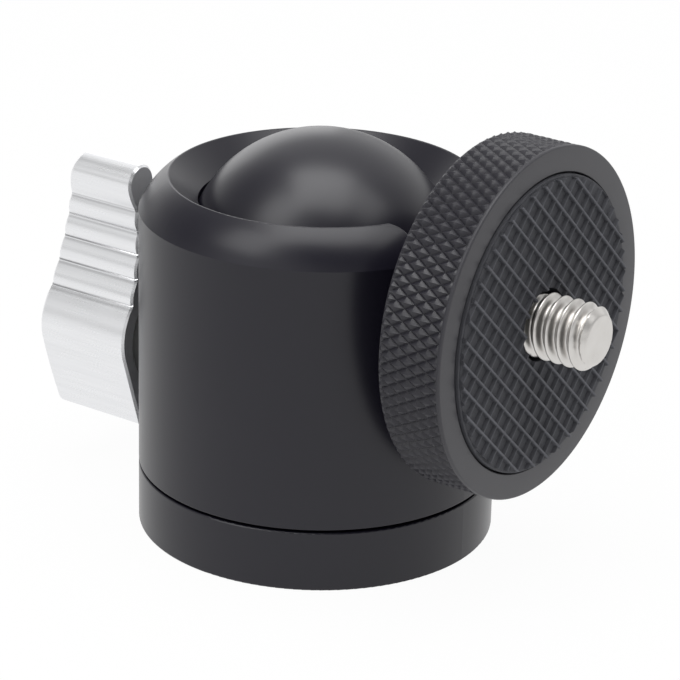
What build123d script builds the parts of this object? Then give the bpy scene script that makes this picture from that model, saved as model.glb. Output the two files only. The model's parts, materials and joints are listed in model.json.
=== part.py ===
from build123d import *
import os
from math import acos, cos, hypot, isclose, radians, sin, tan

os.makedirs("parts", exist_ok=True)

# A small single-lever ball head. Millimetres, +Z up. The origin is the centre of the base's bottom
# face, which is also the mouth of the tripod thread. The neck lies in the notch, along +X, and the
# clamp screw leaves the body along -X.

# ---- Driving dimensions -------------------------------------------------------------------------
# Base plate
body_r = 17.5
base_top = 6.0
base_edge_r = 0.15
edge_break = 0.15
underside_edge = 2.3
base_pad_thick = 0.8
base_pad_inner_r = 7.0
insert_r = 4.75
tapped_r = 2.6
insert_length = 7.4

# Pan bearing: a stack on the base plate's hub, held down by the circlip
hub_r = 8.0
hub_land = 0.35
seam = 0.25
friction_washer_thick = 0.4
friction_washer_edge = 0.4
pan_ring_thick = 2.5
spanner_hole_r = 1.0
spanner_hole_depth = 1.2
thrust_washer_thick = 0.4
thrust_washer_width = 3.0
disc_spring_thick = 0.3
disc_spring_rise = 0.3
disc_spring_width = 2.6
circlip_thick = 0.7
circlip_width = 1.4
circlip_groove_depth = 0.9
circlip_opening = 40.0

# Ball, and the shell round it
ball_r = 13.25
shoulder_step = 0.9
opening_lip = 1.4
opening_land = 0.47
cone_rise = 2.48
bevel_height = 3.38
bevel_width = 2.83
bevel_bulge = 0.31
crest_r = 0.2

# Neck and its notch
neck_r = 6.0
neck_fillet = 0.25
notch_gap = 0.35
notch_corner_r = 1.2

# Camera disc, its pad and its screw
disc_clearance = 0.11
disc_thick = 6.7
disc_r = 16.8
disc_edge_r = 0.2
disc_back_chamfer = 0.3
recess_r = 14.3
recess_depth = 1.2
pad_gap = 0.15
pad_thick = 1.9
pad_hole_r = 3.5
pad_border = 0.25
ridge_height = 0.4
ridge_width = 0.3

# The pad's two families of ridges: degrees round the neck that they face, spacing, and shift of the
# ridge nearest to the centre
ridges_one_way = {"facing": 136.6, "pitch": 1.65, "shift": 0.835}
ridges_other_way = {"facing": 47.9, "pitch": 1.71, "shift": -0.84}

# Camera screw
stud_r = 3.175
stud_shank_r = 2.8
stud_grip = 6.0
stud_length = 5.05
stud_chamfer = 0.5

# Clamp: the screw's dog pushes the wedge, and the wedge lifts the seat under the ball
screw_r = 3.0
screw_rise = 3.85
dog_r = 1.6
bush_r = 4.0
bush_setback = 0.2
bush_flange_r = 4.8
bush_flange_thick = 1.0
spot_depth = 0.9
wedge_setback = 1.32
wedge_land = 0.8
wedge_toe = 0.53
wedge_half = 3.2
wedge_angle = 38.0
seat_drop = 0.7
seat_floor = 1.33
seat_height = 7.8
pocket_run = 3.0

# Lever: sizes along the arm are from the screw's axis, and half-widths are across it
lever_thick = 11.0
lever_edge = 0.25
lever_back_r = 60.0
lever_back_centre = -2.4
lever_lean = 15.0
lever_heel = 7.0
heel_half = 6.95
heel_round_r = 1.0
hub_half = 7.33
hub_widest = 0.8
shoulder_half = 6.6
shoulder_at = 3.6
flank_r = 16.5
rib_count = 4
rib_pitch = 2.35
first_groove = 14.9
groove_depth = 0.3
waist_at = 16.2
waist_half = 1.65
tip_centre = 17.3
tip_r = 1.85
lever_washer_thick = 0.8
lever_washer_r = 6.0
lever_screw_r = 1.5
lever_screw_length = 8.0
lever_screw_head_r = 2.75
lever_screw_head = 1.7
head_depth = 0.4
head_wall = 2.45
hex_half = 1.25
hex_depth = 1.0

# Clearances, and how far a cut runs past the face that it opens
ball_gap = 0.07
slide_gap = 0.05
run_gap = 0.05
face_gap = 0.05
thread_gap = 0.03
hole_gap = 0.1
dog_clearance = 0.9
cut_over = 1.0

# ---- Sizes that follow from them ----------------------------------------------------------------
# Pan bearing, upwards
shell_bottom = base_top + seam
friction_top = base_top + friction_washer_thick
ring_bottom = friction_top + face_gap
ring_top = ring_bottom + pan_ring_thick
shoulder_z = ring_top + face_gap
thrust_top = shoulder_z + thrust_washer_thick
spring_top = thrust_top + disc_spring_thick + disc_spring_rise
circlip_bottom = spring_top + face_gap
hub_top = circlip_bottom + circlip_thick + hub_land

# Wedge, seat and ball, upwards
wedge_tan = tan(radians(wedge_angle))
wedge_bottom = hub_top + face_gap
screw_z = wedge_bottom + screw_rise
land_z = screw_z + dog_r
seat_bottom = hub_top + seat_drop
seat_top = seat_bottom + seat_height
socket_r = ball_r + ball_gap
ball_z = seat_bottom + seat_floor + socket_r

# Shell
ring_thread_r = socket_r + shoulder_step
opening_r = ball_r - opening_lip
lip_angle = acos(opening_r / socket_r)
lip_z = ball_z + socket_r * sin(lip_angle)
opening_z = lip_z + opening_land
rim_top = opening_z + cone_rise
wall_top = rim_top - bevel_height
rim_r = body_r - bevel_width
notch_half = neck_r + notch_gap

# Clamp, outwards from the body's axis
wedge_outer = socket_r - wedge_setback
ramp_start = wedge_outer - wedge_land
wedge_inner = ramp_start - (land_z - wedge_bottom - wedge_toe) / wedge_tan
bush_inner = socket_r + bush_setback
spot_face = body_r - spot_depth
washer_inner = spot_face + bush_flange_thick + face_gap
lever_inner = washer_inner + lever_washer_thick + face_gap
lever_outer = lever_inner + lever_thick

# Camera disc, outwards from the ball's centre: the disc's back clears the shell's widest corner
disc_back = hypot(body_r, wall_top - ball_z) + disc_clearance
disc_front = disc_back + disc_thick
recess_floor = disc_front - recess_depth
pad_top = recess_floor + pad_thick
neck_end = disc_back - face_gap
stud_inner_end = disc_back - stud_grip

# Frames of the two arms: local Z points out along the neck, or out along the clamp screw
stem_frame = Pos(0, 0, ball_z) * Rot(0, 90, 0)
clamp_frame = Pos(0, 0, screw_z) * Rot(0, -90, 0)


def rod(radius, start, end):
    """A cylinder about Z from one height to another."""
    return Pos(0, 0, start) * Cylinder(
        radius, end - start, align=(Align.CENTER, Align.CENTER, Align.MIN)
    )


def tube(inner, outer, start, end):
    """A ring about Z from one height to another."""
    return rod(outer, start, end) - rod(inner, start, end)


def outer_edges(solid, radius):
    """The round edges of one radius about Z, from the lowest up."""
    circles = solid.edges().filter_by(GeomType.CIRCLE)
    return circles.filter_by(lambda edge: isclose(edge.radius, radius)).sort_by(Axis.Z)


# ---- Base and pan bearing -----------------------------------------------------------------------
def make_base_plate():
    plate = rod(body_r, 0, base_top)
    plate = fillet(outer_edges(plate, body_r)[0], base_edge_r)
    plate = fillet(outer_edges(plate, body_r)[-1], edge_break)
    plate += rod(hub_r, base_top, hub_top)
    plate -= tube(base_pad_inner_r, body_r - underside_edge, 0, base_pad_thick)
    plate -= rod(insert_r, 0, insert_length)
    plate -= tube(
        hub_r - circlip_groove_depth,
        hub_r + cut_over,
        circlip_bottom - face_gap / 2,
        circlip_bottom + circlip_thick + face_gap / 2,
    )
    return plate


def make_base_pad():
    inner = base_pad_inner_r + slide_gap
    return tube(inner, body_r - underside_edge - slide_gap, 0, base_pad_thick)


def make_thread_insert():
    return tube(tapped_r, insert_r, 0, insert_length)


def make_friction_washer():
    return tube(hub_r + run_gap, ring_thread_r - friction_washer_edge, base_top, friction_top)


def make_thrust_washer():
    return tube(hub_r, hub_r + thrust_washer_width, shoulder_z, thrust_top)


def make_disc_spring():
    inner = hub_r + run_gap
    outer = hub_r + disc_spring_width
    section = Polyline(
        (inner, 0, thrust_top + disc_spring_rise),
        (outer, 0, thrust_top),
        (outer, 0, thrust_top + disc_spring_thick),
        (inner, 0, spring_top),
        close=True,
    )
    return revolve(make_face(section), axis=Axis.Z)


def make_circlip():
    inner = hub_r - circlip_groove_depth + slide_gap
    outer = hub_r + circlip_width
    ring = tube(inner, outer, circlip_bottom, circlip_bottom + circlip_thick)
    reach = 2 * outer
    half = reach * tan(radians(circlip_opening / 2)) / 2
    mouth = make_face(Polyline((0, 0), (reach, half), (reach, -half), close=True))
    return ring - extrude(mouth, hub_top)


# ---- Body shell ---------------------------------------------------------------------------------
def make_housing():
    slant = hypot(bevel_height, bevel_width)
    bevel_mid = (
        body_r - bevel_width / 2 + bevel_bulge * bevel_height / slant,
        0,
        wall_top + bevel_height / 2 + bevel_bulge * bevel_width / slant,
    )
    lip_mid = (
        socket_r * cos(lip_angle / 2),
        0,
        ball_z + socket_r * sin(lip_angle / 2),
    )
    section = make_face(
        [
            Polyline(
                (ring_thread_r, 0, shell_bottom), (body_r, 0, shell_bottom), (body_r, 0, wall_top)
            ),
            ThreePointArc((body_r, 0, wall_top), bevel_mid, (rim_r, 0, rim_top)),
            Polyline((rim_r, 0, rim_top), (opening_r, 0, opening_z), (opening_r, 0, lip_z)),
            ThreePointArc((opening_r, 0, lip_z), lip_mid, (socket_r, 0, ball_z)),
            Polyline(
                (socket_r, 0, ball_z),
                (socket_r, 0, shoulder_z),
                (ring_thread_r, 0, shoulder_z),
                (ring_thread_r, 0, shell_bottom),
            ),
        ]
    )
    crest = section.vertices().sort_by(Axis.Z)[-1]
    section = fillet(crest, crest_r)
    foot = section.vertices().sort_by(Axis.Z)[:2].sort_by(Axis.X)[-1]
    section = fillet(foot, edge_break)
    shell = revolve(section, axis=Axis.Z) - make_notch()
    shell -= clamp_frame * rod(bush_r, socket_r - bush_r, body_r)
    shell -= clamp_frame * rod(bush_flange_r + hole_gap, spot_face, body_r + cut_over)
    return fillet(notch_rims(shell), edge_break)


def notch_rims(shell):
    """The edges where the notch comes out through the shell's outer faces."""
    rims = []
    for edge in shell.edges().filter_by(Axis.X, reverse=True):
        middle = edge.center()
        outside = hypot(middle.X, middle.Y) > socket_r
        if outside and middle.X > 0 and middle.Z > ball_z - notch_half:
            rims.append(edge)
    return rims


def make_notch():
    """The U-shaped slot that takes the neck, with corners rounded into the rim."""
    corner = notch_corner_r
    above = rim_top + cut_over
    inset = corner * (1 - cos(radians(45)))
    side = notch_half
    half = [
        Line((0, 0, above), (0, side + corner, above)),
        Line((0, side + corner, above), (0, side + corner, rim_top)),
        ThreePointArc(
            (0, side + corner, rim_top),
            (0, side + inset, rim_top - inset),
            (0, side, rim_top - corner),
        ),
        Line((0, side, rim_top - corner), (0, side, ball_z)),
        ThreePointArc(
            (0, side, ball_z),
            (0, side * cos(radians(45)), ball_z - side * sin(radians(45))),
            (0, 0, ball_z - side),
        ),
    ]
    outline = make_face(half + [mirror(edge, about=Plane.XZ) for edge in half])
    return extrude(outline, body_r + cut_over, dir=(1, 0, 0))


def make_pan_ring():
    ring = tube(hub_r + run_gap, ring_thread_r - thread_gap, ring_bottom, ring_top)
    hole_at = (hub_r + ring_thread_r) / 2
    for side in (-1, 1):
        hole = rod(spanner_hole_r, ring_bottom, ring_bottom + spanner_hole_depth)
        ring -= Pos(side * hole_at, 0, 0) * hole
    return ring


def make_clamp_bush():
    flange_end = spot_face + bush_flange_thick
    bush = rod(bush_r, bush_inner, spot_face) + rod(bush_flange_r, spot_face, flange_end)
    return clamp_frame * (bush - rod(screw_r + run_gap, bush_inner, flange_end))


# ---- Clamp --------------------------------------------------------------------------------------
def ramp_height(reach):
    """Height of the wedge's ramp at a distance from the body's axis; it falls towards the axis."""
    return land_z + (reach - ramp_start) * wedge_tan


def side_plate(outline, half):
    """A plate of the given XZ outline, as wide on each side of the XZ plane."""
    face = make_face(Polyline(*[(x, -half, z) for x, z in outline], close=True))
    return extrude(face, 2 * half, dir=(0, 1, 0))


def make_wedge_slider():
    outline = [
        (-wedge_outer, wedge_bottom),
        (-wedge_outer, land_z),
        (-ramp_start, land_z),
        (-wedge_inner, wedge_bottom + wedge_toe),
        (-wedge_inner, wedge_bottom),
    ]
    return side_plate(outline, wedge_half)


def make_ball_seat():
    """The cup: its pocket rides on the wedge's ramp, and clears the wedge as both move apart."""
    cup = rod(socket_r - slide_gap, seat_bottom, seat_top)
    cup -= Pos(0, 0, ball_z) * Sphere(socket_r)
    lift = face_gap / cos(radians(wedge_angle))
    inner = wedge_inner - pocket_run
    pocket = [
        (-inner, 0),
        (-inner, ramp_height(inner) + lift),
        (-body_r, ramp_height(body_r) + lift),
        (-body_r, 0),
    ]
    cup -= side_plate(pocket, wedge_half + slide_gap)
    cup -= clamp_frame * rod(dog_r + dog_clearance, wedge_outer - face_gap, body_r)
    return cup


def make_clamp_screw():
    shoulder = bush_inner + thread_gap
    screw = rod(dog_r, wedge_outer + face_gap, shoulder) + rod(screw_r, shoulder, screw_outer)
    return clamp_frame * (screw - rod(lever_screw_r, lever_screw_inner, screw_outer))


def flank(v):
    """Half-width of the lever across the tops of its ribs."""
    return waist_half + (waist_at - v) ** 2 / (2 * flank_r)


def lever_outline(inset=0):
    """The lever seen along the screw: tip, ribbed flanks, shoulders and a square heel."""
    grooves = [first_groove - i * rib_pitch for i in range(rib_count + 1)]
    floors = [(v, flank(v) - groove_depth - inset) for v in grooves]
    tip = tip_r - inset
    turn = radians(45)
    heel = inset - lever_heel
    side = [
        ThreePointArc(
            (tip_centre + tip, 0),
            (tip_centre + tip * cos(turn), tip * sin(turn)),
            (tip_centre, tip),
        ),
        TangentArc((tip_centre, tip), floors[0], tangent=(-1, 0)),
    ]
    for above, below in zip(floors, floors[1:]):
        middle = (above[0] + below[0]) / 2
        side.append(ThreePointArc(above, (middle, flank(middle) - inset), below))
    shoulder = (shoulder_at, shoulder_half - inset)
    side.append(ThreePointArc(floors[-1], shoulder, (hub_widest, hub_half - inset)))
    side.append(Line((hub_widest, hub_half - inset), (heel, heel_half - inset)))
    side.append(Line((heel, heel_half - inset), (heel, 0)))
    return make_face(side + [mirror(edge, about=Plane.XZ) for edge in side])


def lever_back(v):
    """How far out the crowned outer face lies, along the arm."""
    return lever_outer - (v - lever_back_centre) ** 2 / (2 * lever_back_r)


head_seat = lever_back(0) - head_depth - lever_screw_head
screw_outer = head_seat - head_wall
lever_screw_inner = screw_outer - lever_screw_length


def make_clamp_lever():
    outline = Pos(0, 0, lever_inner + lever_edge) * lever_outline()
    inner_face = Pos(0, 0, lever_inner) * lever_outline(lever_edge)
    blank = extrude(outline, lever_thick) + loft([inner_face, outline], ruled=True)
    high = tip_centre + tip_r + cut_over
    low = -lever_heel
    middle = (high + low) / 2
    crown_section = [
        Line((low, 0, lever_inner), (high, 0, lever_inner)),
        Line((high, 0, lever_inner), (high, 0, lever_back(high))),
        ThreePointArc(
            (high, 0, lever_back(high)), (middle, 0, lever_back(middle)), (low, 0, lever_back(low))
        ),
        Line((low, 0, lever_back(low)), (low, 0, lever_inner)),
    ]
    crown = extrude(make_face(crown_section), hub_half + cut_over, both=True)
    heel_edge = crown.edges().filter_by(Axis.Y).sort_by(Axis.X)[:2].sort_by(Axis.Z)[-1]
    lever = blank & fillet(heel_edge, heel_round_r)
    back = lever.faces().filter_by(GeomType.CYLINDER).sort_by(SortBy.AREA)[-1]
    lever = chamfer(back.outer_wire().edges(), lever_edge)
    lever -= rod(screw_r + thread_gap, lever_inner, screw_outer)
    lever -= rod(lever_screw_r + hole_gap, screw_outer, head_seat)
    lever -= rod(lever_screw_head_r + hole_gap, head_seat, lever_outer + cut_over)
    return clamp_frame * Rot(0, 0, -lever_lean) * lever


def make_lever_screw():
    head_top = head_seat + lever_screw_head
    screw = rod(lever_screw_r, lever_screw_inner, head_seat)
    screw += rod(lever_screw_head_r, head_seat, head_top)
    socket = extrude(RegularPolygon(hex_half, 6, major_radius=False), hex_depth)
    return clamp_frame * (screw - Pos(0, 0, head_top - hex_depth) * socket)


def make_lever_washer():
    washer = tube(screw_r, lever_washer_r, washer_inner, washer_inner + lever_washer_thick)
    return clamp_frame * washer


# ---- Ball and camera disc -----------------------------------------------------------------------
def make_ball_stem():
    stem = Sphere(ball_r) + rod(neck_r, 0, neck_end)
    stem = fillet(outer_edges(stem, neck_r)[0], neck_fillet)
    stem -= rod(stud_shank_r + run_gap, stud_inner_end - face_gap, neck_end)
    return stem_frame * stem


def make_platform_disc():
    disc = rod(disc_r, disc_back, disc_front)
    disc = fillet(outer_edges(disc, disc_r)[-1], disc_edge_r)
    disc = chamfer(outer_edges(disc, disc_r)[0], disc_back_chamfer)
    disc -= rod(recess_r, recess_floor, disc_front)
    disc -= rod(stud_shank_r, disc_back, recess_floor)
    return stem_frame * disc


def ridge_strips(length, facing, pitch, shift):
    """Straight strips in the pad's plane, side by side in the direction that they face."""
    count = int(length / 2 // pitch)
    strip = Rectangle(ridge_width, length)
    places = [shift + index * pitch for index in range(-count, count + 1)]
    return [Rot(0, 0, facing) * Pos(place, 0) * strip for place in places]


def make_platform_pad():
    """A rubber pad, proud of the disc, with two families of ridges inside a narrow lower border."""
    lattice_r = recess_r - pad_gap - pad_border
    strips = ridge_strips(2 * lattice_r, **ridges_one_way)
    strips += ridge_strips(2 * lattice_r, **ridges_other_way)
    lattice = (Sketch() + strips) & Circle(lattice_r)
    ridge_foot = pad_top - ridge_height
    ridge_root = ridge_foot - ridge_height / 2
    pad = rod(recess_r - pad_gap, recess_floor, ridge_foot)
    pad += extrude(Pos(0, 0, ridge_root) * lattice, pad_top - ridge_root)
    pad -= rod(pad_hole_r, recess_floor, pad_top)
    return stem_frame * pad


def make_camera_screw():
    stud = rod(stud_shank_r, stud_inner_end, pad_top)
    thread = rod(stud_r, pad_top, pad_top + stud_length + stud_chamfer)
    thread = chamfer(outer_edges(thread, stud_r)[-1], stud_chamfer)
    return stem_frame * (stud + thread)


pieces = {
    "base_plate": make_base_plate(),
    "base_pad": make_base_pad(),
    "base_thread_insert": make_thread_insert(),
    "pan_friction_washer": make_friction_washer(),
    "pan_thrust_washer": make_thrust_washer(),
    "pan_disc_spring": make_disc_spring(),
    "pan_circlip": make_circlip(),
    "housing": make_housing(),
    "pan_ring": make_pan_ring(),
    "clamp_bush": make_clamp_bush(),
    "wedge_slider": make_wedge_slider(),
    "ball_seat": make_ball_seat(),
    "clamp_lever": make_clamp_lever(),
    "clamp_screw": make_clamp_screw(),
    "lever_screw": make_lever_screw(),
    "lever_washer": make_lever_washer(),
    "ball_stem": make_ball_stem(),
    "platform_disc": make_platform_disc(),
    "platform_pad": make_platform_pad(),
    "camera_screw": make_camera_screw(),
}

for name, piece in pieces.items():
    export_step(piece, f"parts/{name}.step")
    print(name, round(piece.volume, 1))
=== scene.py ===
# %% [markdown]
# # A small tripod ball head
#
# A ball head is a clamp for a ball. The ball's neck carries a knurled disc with a threaded stud,
# which screws into a camera. A turned body holds the ball, and a lever on the side locks it. The
# body also turns on its base plate, which screws onto a tripod.
#
# The turned and milled pieces come ready made from the packed part, in metres and in their places.
# This lesson gives each of them its finish, and makes the pieces whose looks are in their fine
# shape: the knurl, the rubber lattice, the threads and the lever's ribs. Every piece is built where
# it belongs and then rides on the body that carries it, so the head still looks right when its
# joints move.

# %% Load the packed part
import json
from math import atan2, ceil, cos, pi, radians, sin, tan

import bmesh
import bpy
from mathutils import Matrix, Vector


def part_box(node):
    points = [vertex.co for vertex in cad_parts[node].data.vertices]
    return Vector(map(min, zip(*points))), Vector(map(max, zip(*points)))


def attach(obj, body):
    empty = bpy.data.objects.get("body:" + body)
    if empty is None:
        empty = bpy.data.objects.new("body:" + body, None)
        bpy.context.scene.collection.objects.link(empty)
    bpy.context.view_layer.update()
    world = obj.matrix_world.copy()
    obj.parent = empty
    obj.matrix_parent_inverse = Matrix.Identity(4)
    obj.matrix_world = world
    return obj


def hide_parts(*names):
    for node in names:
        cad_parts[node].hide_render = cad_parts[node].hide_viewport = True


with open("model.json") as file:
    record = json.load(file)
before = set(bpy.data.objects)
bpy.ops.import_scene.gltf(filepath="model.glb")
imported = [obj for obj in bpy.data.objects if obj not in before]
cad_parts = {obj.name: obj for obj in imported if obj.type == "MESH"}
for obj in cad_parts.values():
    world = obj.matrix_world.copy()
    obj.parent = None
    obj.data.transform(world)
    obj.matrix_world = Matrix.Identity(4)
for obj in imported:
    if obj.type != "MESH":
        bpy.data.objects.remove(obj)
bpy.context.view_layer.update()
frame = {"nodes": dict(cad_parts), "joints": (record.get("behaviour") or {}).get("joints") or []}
nodes = frame["nodes"]
MM = 0.001
print("CAD pieces:", len(nodes))

# %% [markdown]
# ## The axes that pieces are built on
#
# Almost everything here is turned, so a piece is easiest to think of as rings round an axis. There
# are three: the body's upright axis, the neck's axis and the clamp screw's axis. Each gets a matrix
# that takes local Z along that axis, outwards. The joints know where the axes are.

# %% Axes
joints = {joint["name"]: joint for joint in frame["joints"]}
ball_z = joints["tilt"]["pos_m"][2]
screw_z = joints["lever_turn"]["pos_m"][2]
quarter_turn = radians(90)
base_axis = Matrix.Identity(4)
neck_axis = Matrix.Translation((0, 0, ball_z)) @ Matrix.Rotation(quarter_turn, 4, "Y")
clamp_axis = Matrix.Translation((0, 0, screw_z)) @ Matrix.Rotation(-quarter_turn, 4, "Y")
print("ball centre", round(ball_z / MM, 2), "mm up, clamp screw", round(screw_z / MM, 2), "mm up")

# %% [markdown]
# ## Camera
#
# The head is seen from its front right and a little above, through a long lens from 0.3 m, as in
# a maker's catalogue. A long lens keeps the body's sides almost parallel. The camera is turned by
# its bearing and its height above the horizon, so these can be read and changed one at a time. Its
# focal length and film width are in millimetres, as on a real lens, and the rest is in metres.

# %% Camera
camera_bearing = radians(35.3)
camera_height = radians(21.9)
camera_roll = radians(1.37)
camera_reach = 0.3
camera_aim = Vector((1.91, 0.88, 18.69)) * MM
focal_length = 163.4
film_width = 36
nearest_seen = 0.01

lens = bpy.data.cameras.new("camera")
lens.lens = focal_length
lens.sensor_width = film_width
lens.clip_start = nearest_seen
camera = bpy.data.objects.new("camera", lens)
bpy.context.scene.collection.objects.link(camera)
nod = Matrix.Rotation(quarter_turn - camera_height, 4, "X")
turn = Matrix.Rotation(camera_bearing, 4, "Z") @ nod
camera.matrix_world = (
    Matrix.Translation(camera_aim)
    @ turn
    @ Matrix.Translation((0, 0, camera_reach))
    @ Matrix.Rotation(camera_roll, 4, "Z")
)
bpy.context.scene.camera = camera
bpy.context.scene.view_settings.view_transform = "Standard"
print("camera at", [round(value / MM) for value in camera.matrix_world.translation], "mm")

# %% [markdown]
# ## Writing a finish
#
# A finish is a net of shader nodes. Two small classes keep it readable. `Signal` stands for one
# node's output and lets numbers be worked out with Python's own signs, so `1 - mask` adds a Math
# node by itself. `Finish` holds one material, and its `node` method adds any other node: its
# settings go in first, then the values or signals of its sockets. The other methods are the few
# nets that every finish here needs, such as clouds of noise and a bump.

# %% Signal
class Signal:
    """What one socket of a finish gives out."""

    def __init__(self, finish, socket):
        self.finish = finish
        self.socket = socket

    def math(self, operation, first, second):
        """Math on two signals or numbers."""
        return self.finish.node("ShaderNodeMath", {"operation": operation}, {0: first, 1: second})

    def __add__(self, other):
        return self.math("ADD", self, other)

    def __radd__(self, other):
        return self.math("ADD", other, self)

    def __sub__(self, other):
        return self.math("SUBTRACT", self, other)

    def __rsub__(self, other):
        return self.math("SUBTRACT", other, self)

    def __mul__(self, other):
        return self.math("MULTIPLY", self, other)

    def __rmul__(self, other):
        return self.math("MULTIPLY", other, self)


mirrored = [name for name in vars(Signal) if name.startswith("__r")]
print("signs that also work with a number first:", len(mirrored))


# %% Finish
class Finish:
    """One material, built node by node."""

    def __init__(self, name):
        self.material = bpy.data.materials.new(name)
        self.material.use_nodes = True
        self.tree = self.material.node_tree
        self.tree.nodes.clear()

    def node(self, kind, settings, sockets, output=0):
        """Adds one node, with its settings first and then its sockets, and gives its output."""
        node = self.tree.nodes.new(kind)
        for setting, value in settings.items():
            if setting == "stops":
                self.set_stops(node.color_ramp, value)
            else:
                setattr(node, setting, value)
        for socket, value in sockets.items():
            if isinstance(value, Signal):
                self.tree.links.new(value.socket, node.inputs[socket])
            else:
                node.inputs[socket].default_value = value
        if node.outputs:
            return Signal(self, node.outputs[output])

    def set_stops(self, ramp, stops):
        """Gives a ramp its (place, level) stops."""
        while len(ramp.elements) < len(stops):
            ramp.elements.new(1)
        for element, (position, level) in zip(ramp.elements, stops):
            element.position = position
            element.color = (level, level, level, 1)

    def place(self):
        """Where a point of the surface is, in the head's own metres."""
        return self.node("ShaderNodeTexCoord", {}, {}, "Object")

    def noise(self, place, size, detail=2.0):
        """Cloudy values from 0 to 1, whose patches are about size metres across."""
        sockets = {"Vector": place, "Scale": 1 / size, "Detail": detail}
        return self.node("ShaderNodeTexNoise", {}, sockets)

    def ramp(self, value, *stops):
        """A value read off a curve of (place, level) stops."""
        return self.node("ShaderNodeValToRGB", {"stops": stops}, {0: value})

    def vector_math(self, operation, vectors, output="Vector"):
        """Vector Math on one or two vectors."""
        return self.node(
            "ShaderNodeVectorMath", {"operation": operation}, dict(enumerate(vectors)), output
        )

    def stretch(self, place, scale):
        """The same places, scaled differently along each axis."""
        return self.vector_math("MULTIPLY", (place, scale))

    def length(self, vector):
        """How long a vector is."""
        return self.vector_math("LENGTH", (vector,), "Value")

    def along(self, vector, axis):
        """How far a vector reaches along an axis."""
        return self.vector_math("DOT_PRODUCT", (vector, axis), "Value")

    def rise(self, value, low, high):
        """0 up to low, 1 from high on, and straight between them."""
        sockets = {"Value": value, "From Min": low, "From Max": high}
        return self.node("ShaderNodeMapRange", {}, sockets)

    def mix(self, first, second, share):
        """A colour between two, second where share is 1."""
        sockets = {"Factor": share, 6: first, 7: second}
        return self.node("ShaderNodeMix", {"data_type": "RGBA"}, sockets, 2)

    def bump(self, height, depth, normal=None):
        """A normal tilted by a height from 0 to 1 that stands for depth metres."""
        sockets = {"Height": height, "Distance": depth, "Strength": 1.0}
        if normal:
            sockets["Normal"] = normal
        return self.node("ShaderNodeBump", {}, sockets)

    def edges(self, reach):
        """1 on an edge and 0 away from it, by comparing the face with a rounded copy of it."""
        rounded = self.node("ShaderNodeBevel", {"samples": 6}, {"Radius": reach})
        face = self.node("ShaderNodeNewGeometry", {}, {}, "Normal")
        likeness = self.along(rounded, face)
        return self.ramp(likeness, (0.75, 1), (0.98, 0))

    def surface(self, sockets):
        """Ends the net in one shader."""
        shader = self.node("ShaderNodeBsdfPrincipled", {}, sockets)
        self.node("ShaderNodeOutputMaterial", {}, {"Surface": shader})
        return self.material


def grey(level):
    """A neutral colour."""
    return (level, level, level, 1)


def dress(name, material):
    """Gives a packed piece its finish."""
    slots = nodes[name].material_slots
    slots[0].material = material
    print(name, "wears", material.name)


print("finish helpers ready")

# %% [markdown]
# ## Studio
#
# Small shiny goods are shown in a tent of white cloth. Light comes in from all round, but
# the cloth isn't equally bright: the tent is open high on the camera's side, its left and back
# hang in shade, and a darker line runs along the table's far edge. Shiny metal needs such places,
# because it shows nothing but its surroundings. The world is that tent. The camera sees it plain
# white, mirrors see the cloth as it is, and its light on matt surfaces is lower, because the lamps
# add theirs. The floor does the same, but keeps some of its own shading, because the shadow under
# the base has to stay, and mirrors see it dimmer away from the head. From below it is clear, so
# that the underside can be looked at.

# %% Kinds of rays
def ray_kinds(net):
    """Two values: 1 for rays from the camera, and 1 for rays from mirrors and glass."""
    camera_ray = net.node("ShaderNodeLightPath", {}, {}, "Is Camera Ray")
    mirror = Signal(net, camera_ray.socket.node.outputs["Is Glossy Ray"])
    glass = Signal(net, camera_ray.socket.node.outputs["Is Transmission Ray"])
    return camera_ray, mirror.math("MAXIMUM", mirror, glass)


def towards(bearing, height):
    """A direction by its bearing from the front, to the right, and its height, both in degrees."""
    around = Matrix.Rotation(radians(bearing), 3, "Z") @ Matrix.Rotation(-radians(height), 3, "X")
    return around @ Vector((0, -1, 0))


print("overhead is", [round(value, 3) for value in towards(0, 90)])


# %% World
class WorldNet(Finish):
    """The same net, for the world's light."""

    def __init__(self, name):
        world = bpy.data.worlds.new(name)
        world.use_nodes = True
        bpy.context.scene.world = world
        self.tree = world.node_tree
        self.tree.nodes.clear()


tent_light = 0.6
far_edge_depth = 0.45
tent = WorldNet("white_tent")
sight = tent.node("ShaderNodeTexCoord", {}, {}, "Generated")


def shade(bearing, height, outside, inside, depth):
    """Cloth in full shade within inside degrees of a direction, and in none beyond outside."""
    nearness = tent.along(sight, towards(bearing, height))
    return 1 - tent.ramp(nearness, (cos(radians(outside)), 0), (cos(radians(inside)), 1)) * depth


opening = shade(bearing=58, height=54, outside=37, inside=20, depth=0.8)
left_shade = shade(bearing=-72, height=32, outside=38, inside=14, depth=0.62)
back_shade = shade(bearing=122, height=32, outside=38, inside=15, depth=0.4)
upwards = tent.node("ShaderNodeSeparateXYZ", {}, {0: sight}, "Z")
far_edge = 1 - tent.ramp(upwards, (0.05, 1), (0.15, 0)) * far_edge_depth
cloth = opening * left_shade * back_shade * far_edge
camera_ray, mirror_ray = ray_kinds(tent)
on_objects = mirror_ray * (1 - tent_light) + (1 - camera_ray) * tent_light
backdrop = tent.node(
    "ShaderNodeBackground", {}, {"Color": grey(1.0), "Strength": camera_ray + on_objects * cloth}
)
tent.node("ShaderNodeOutputWorld", {}, {"Surface": backdrop})
print("tent light", tent_light)

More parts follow.
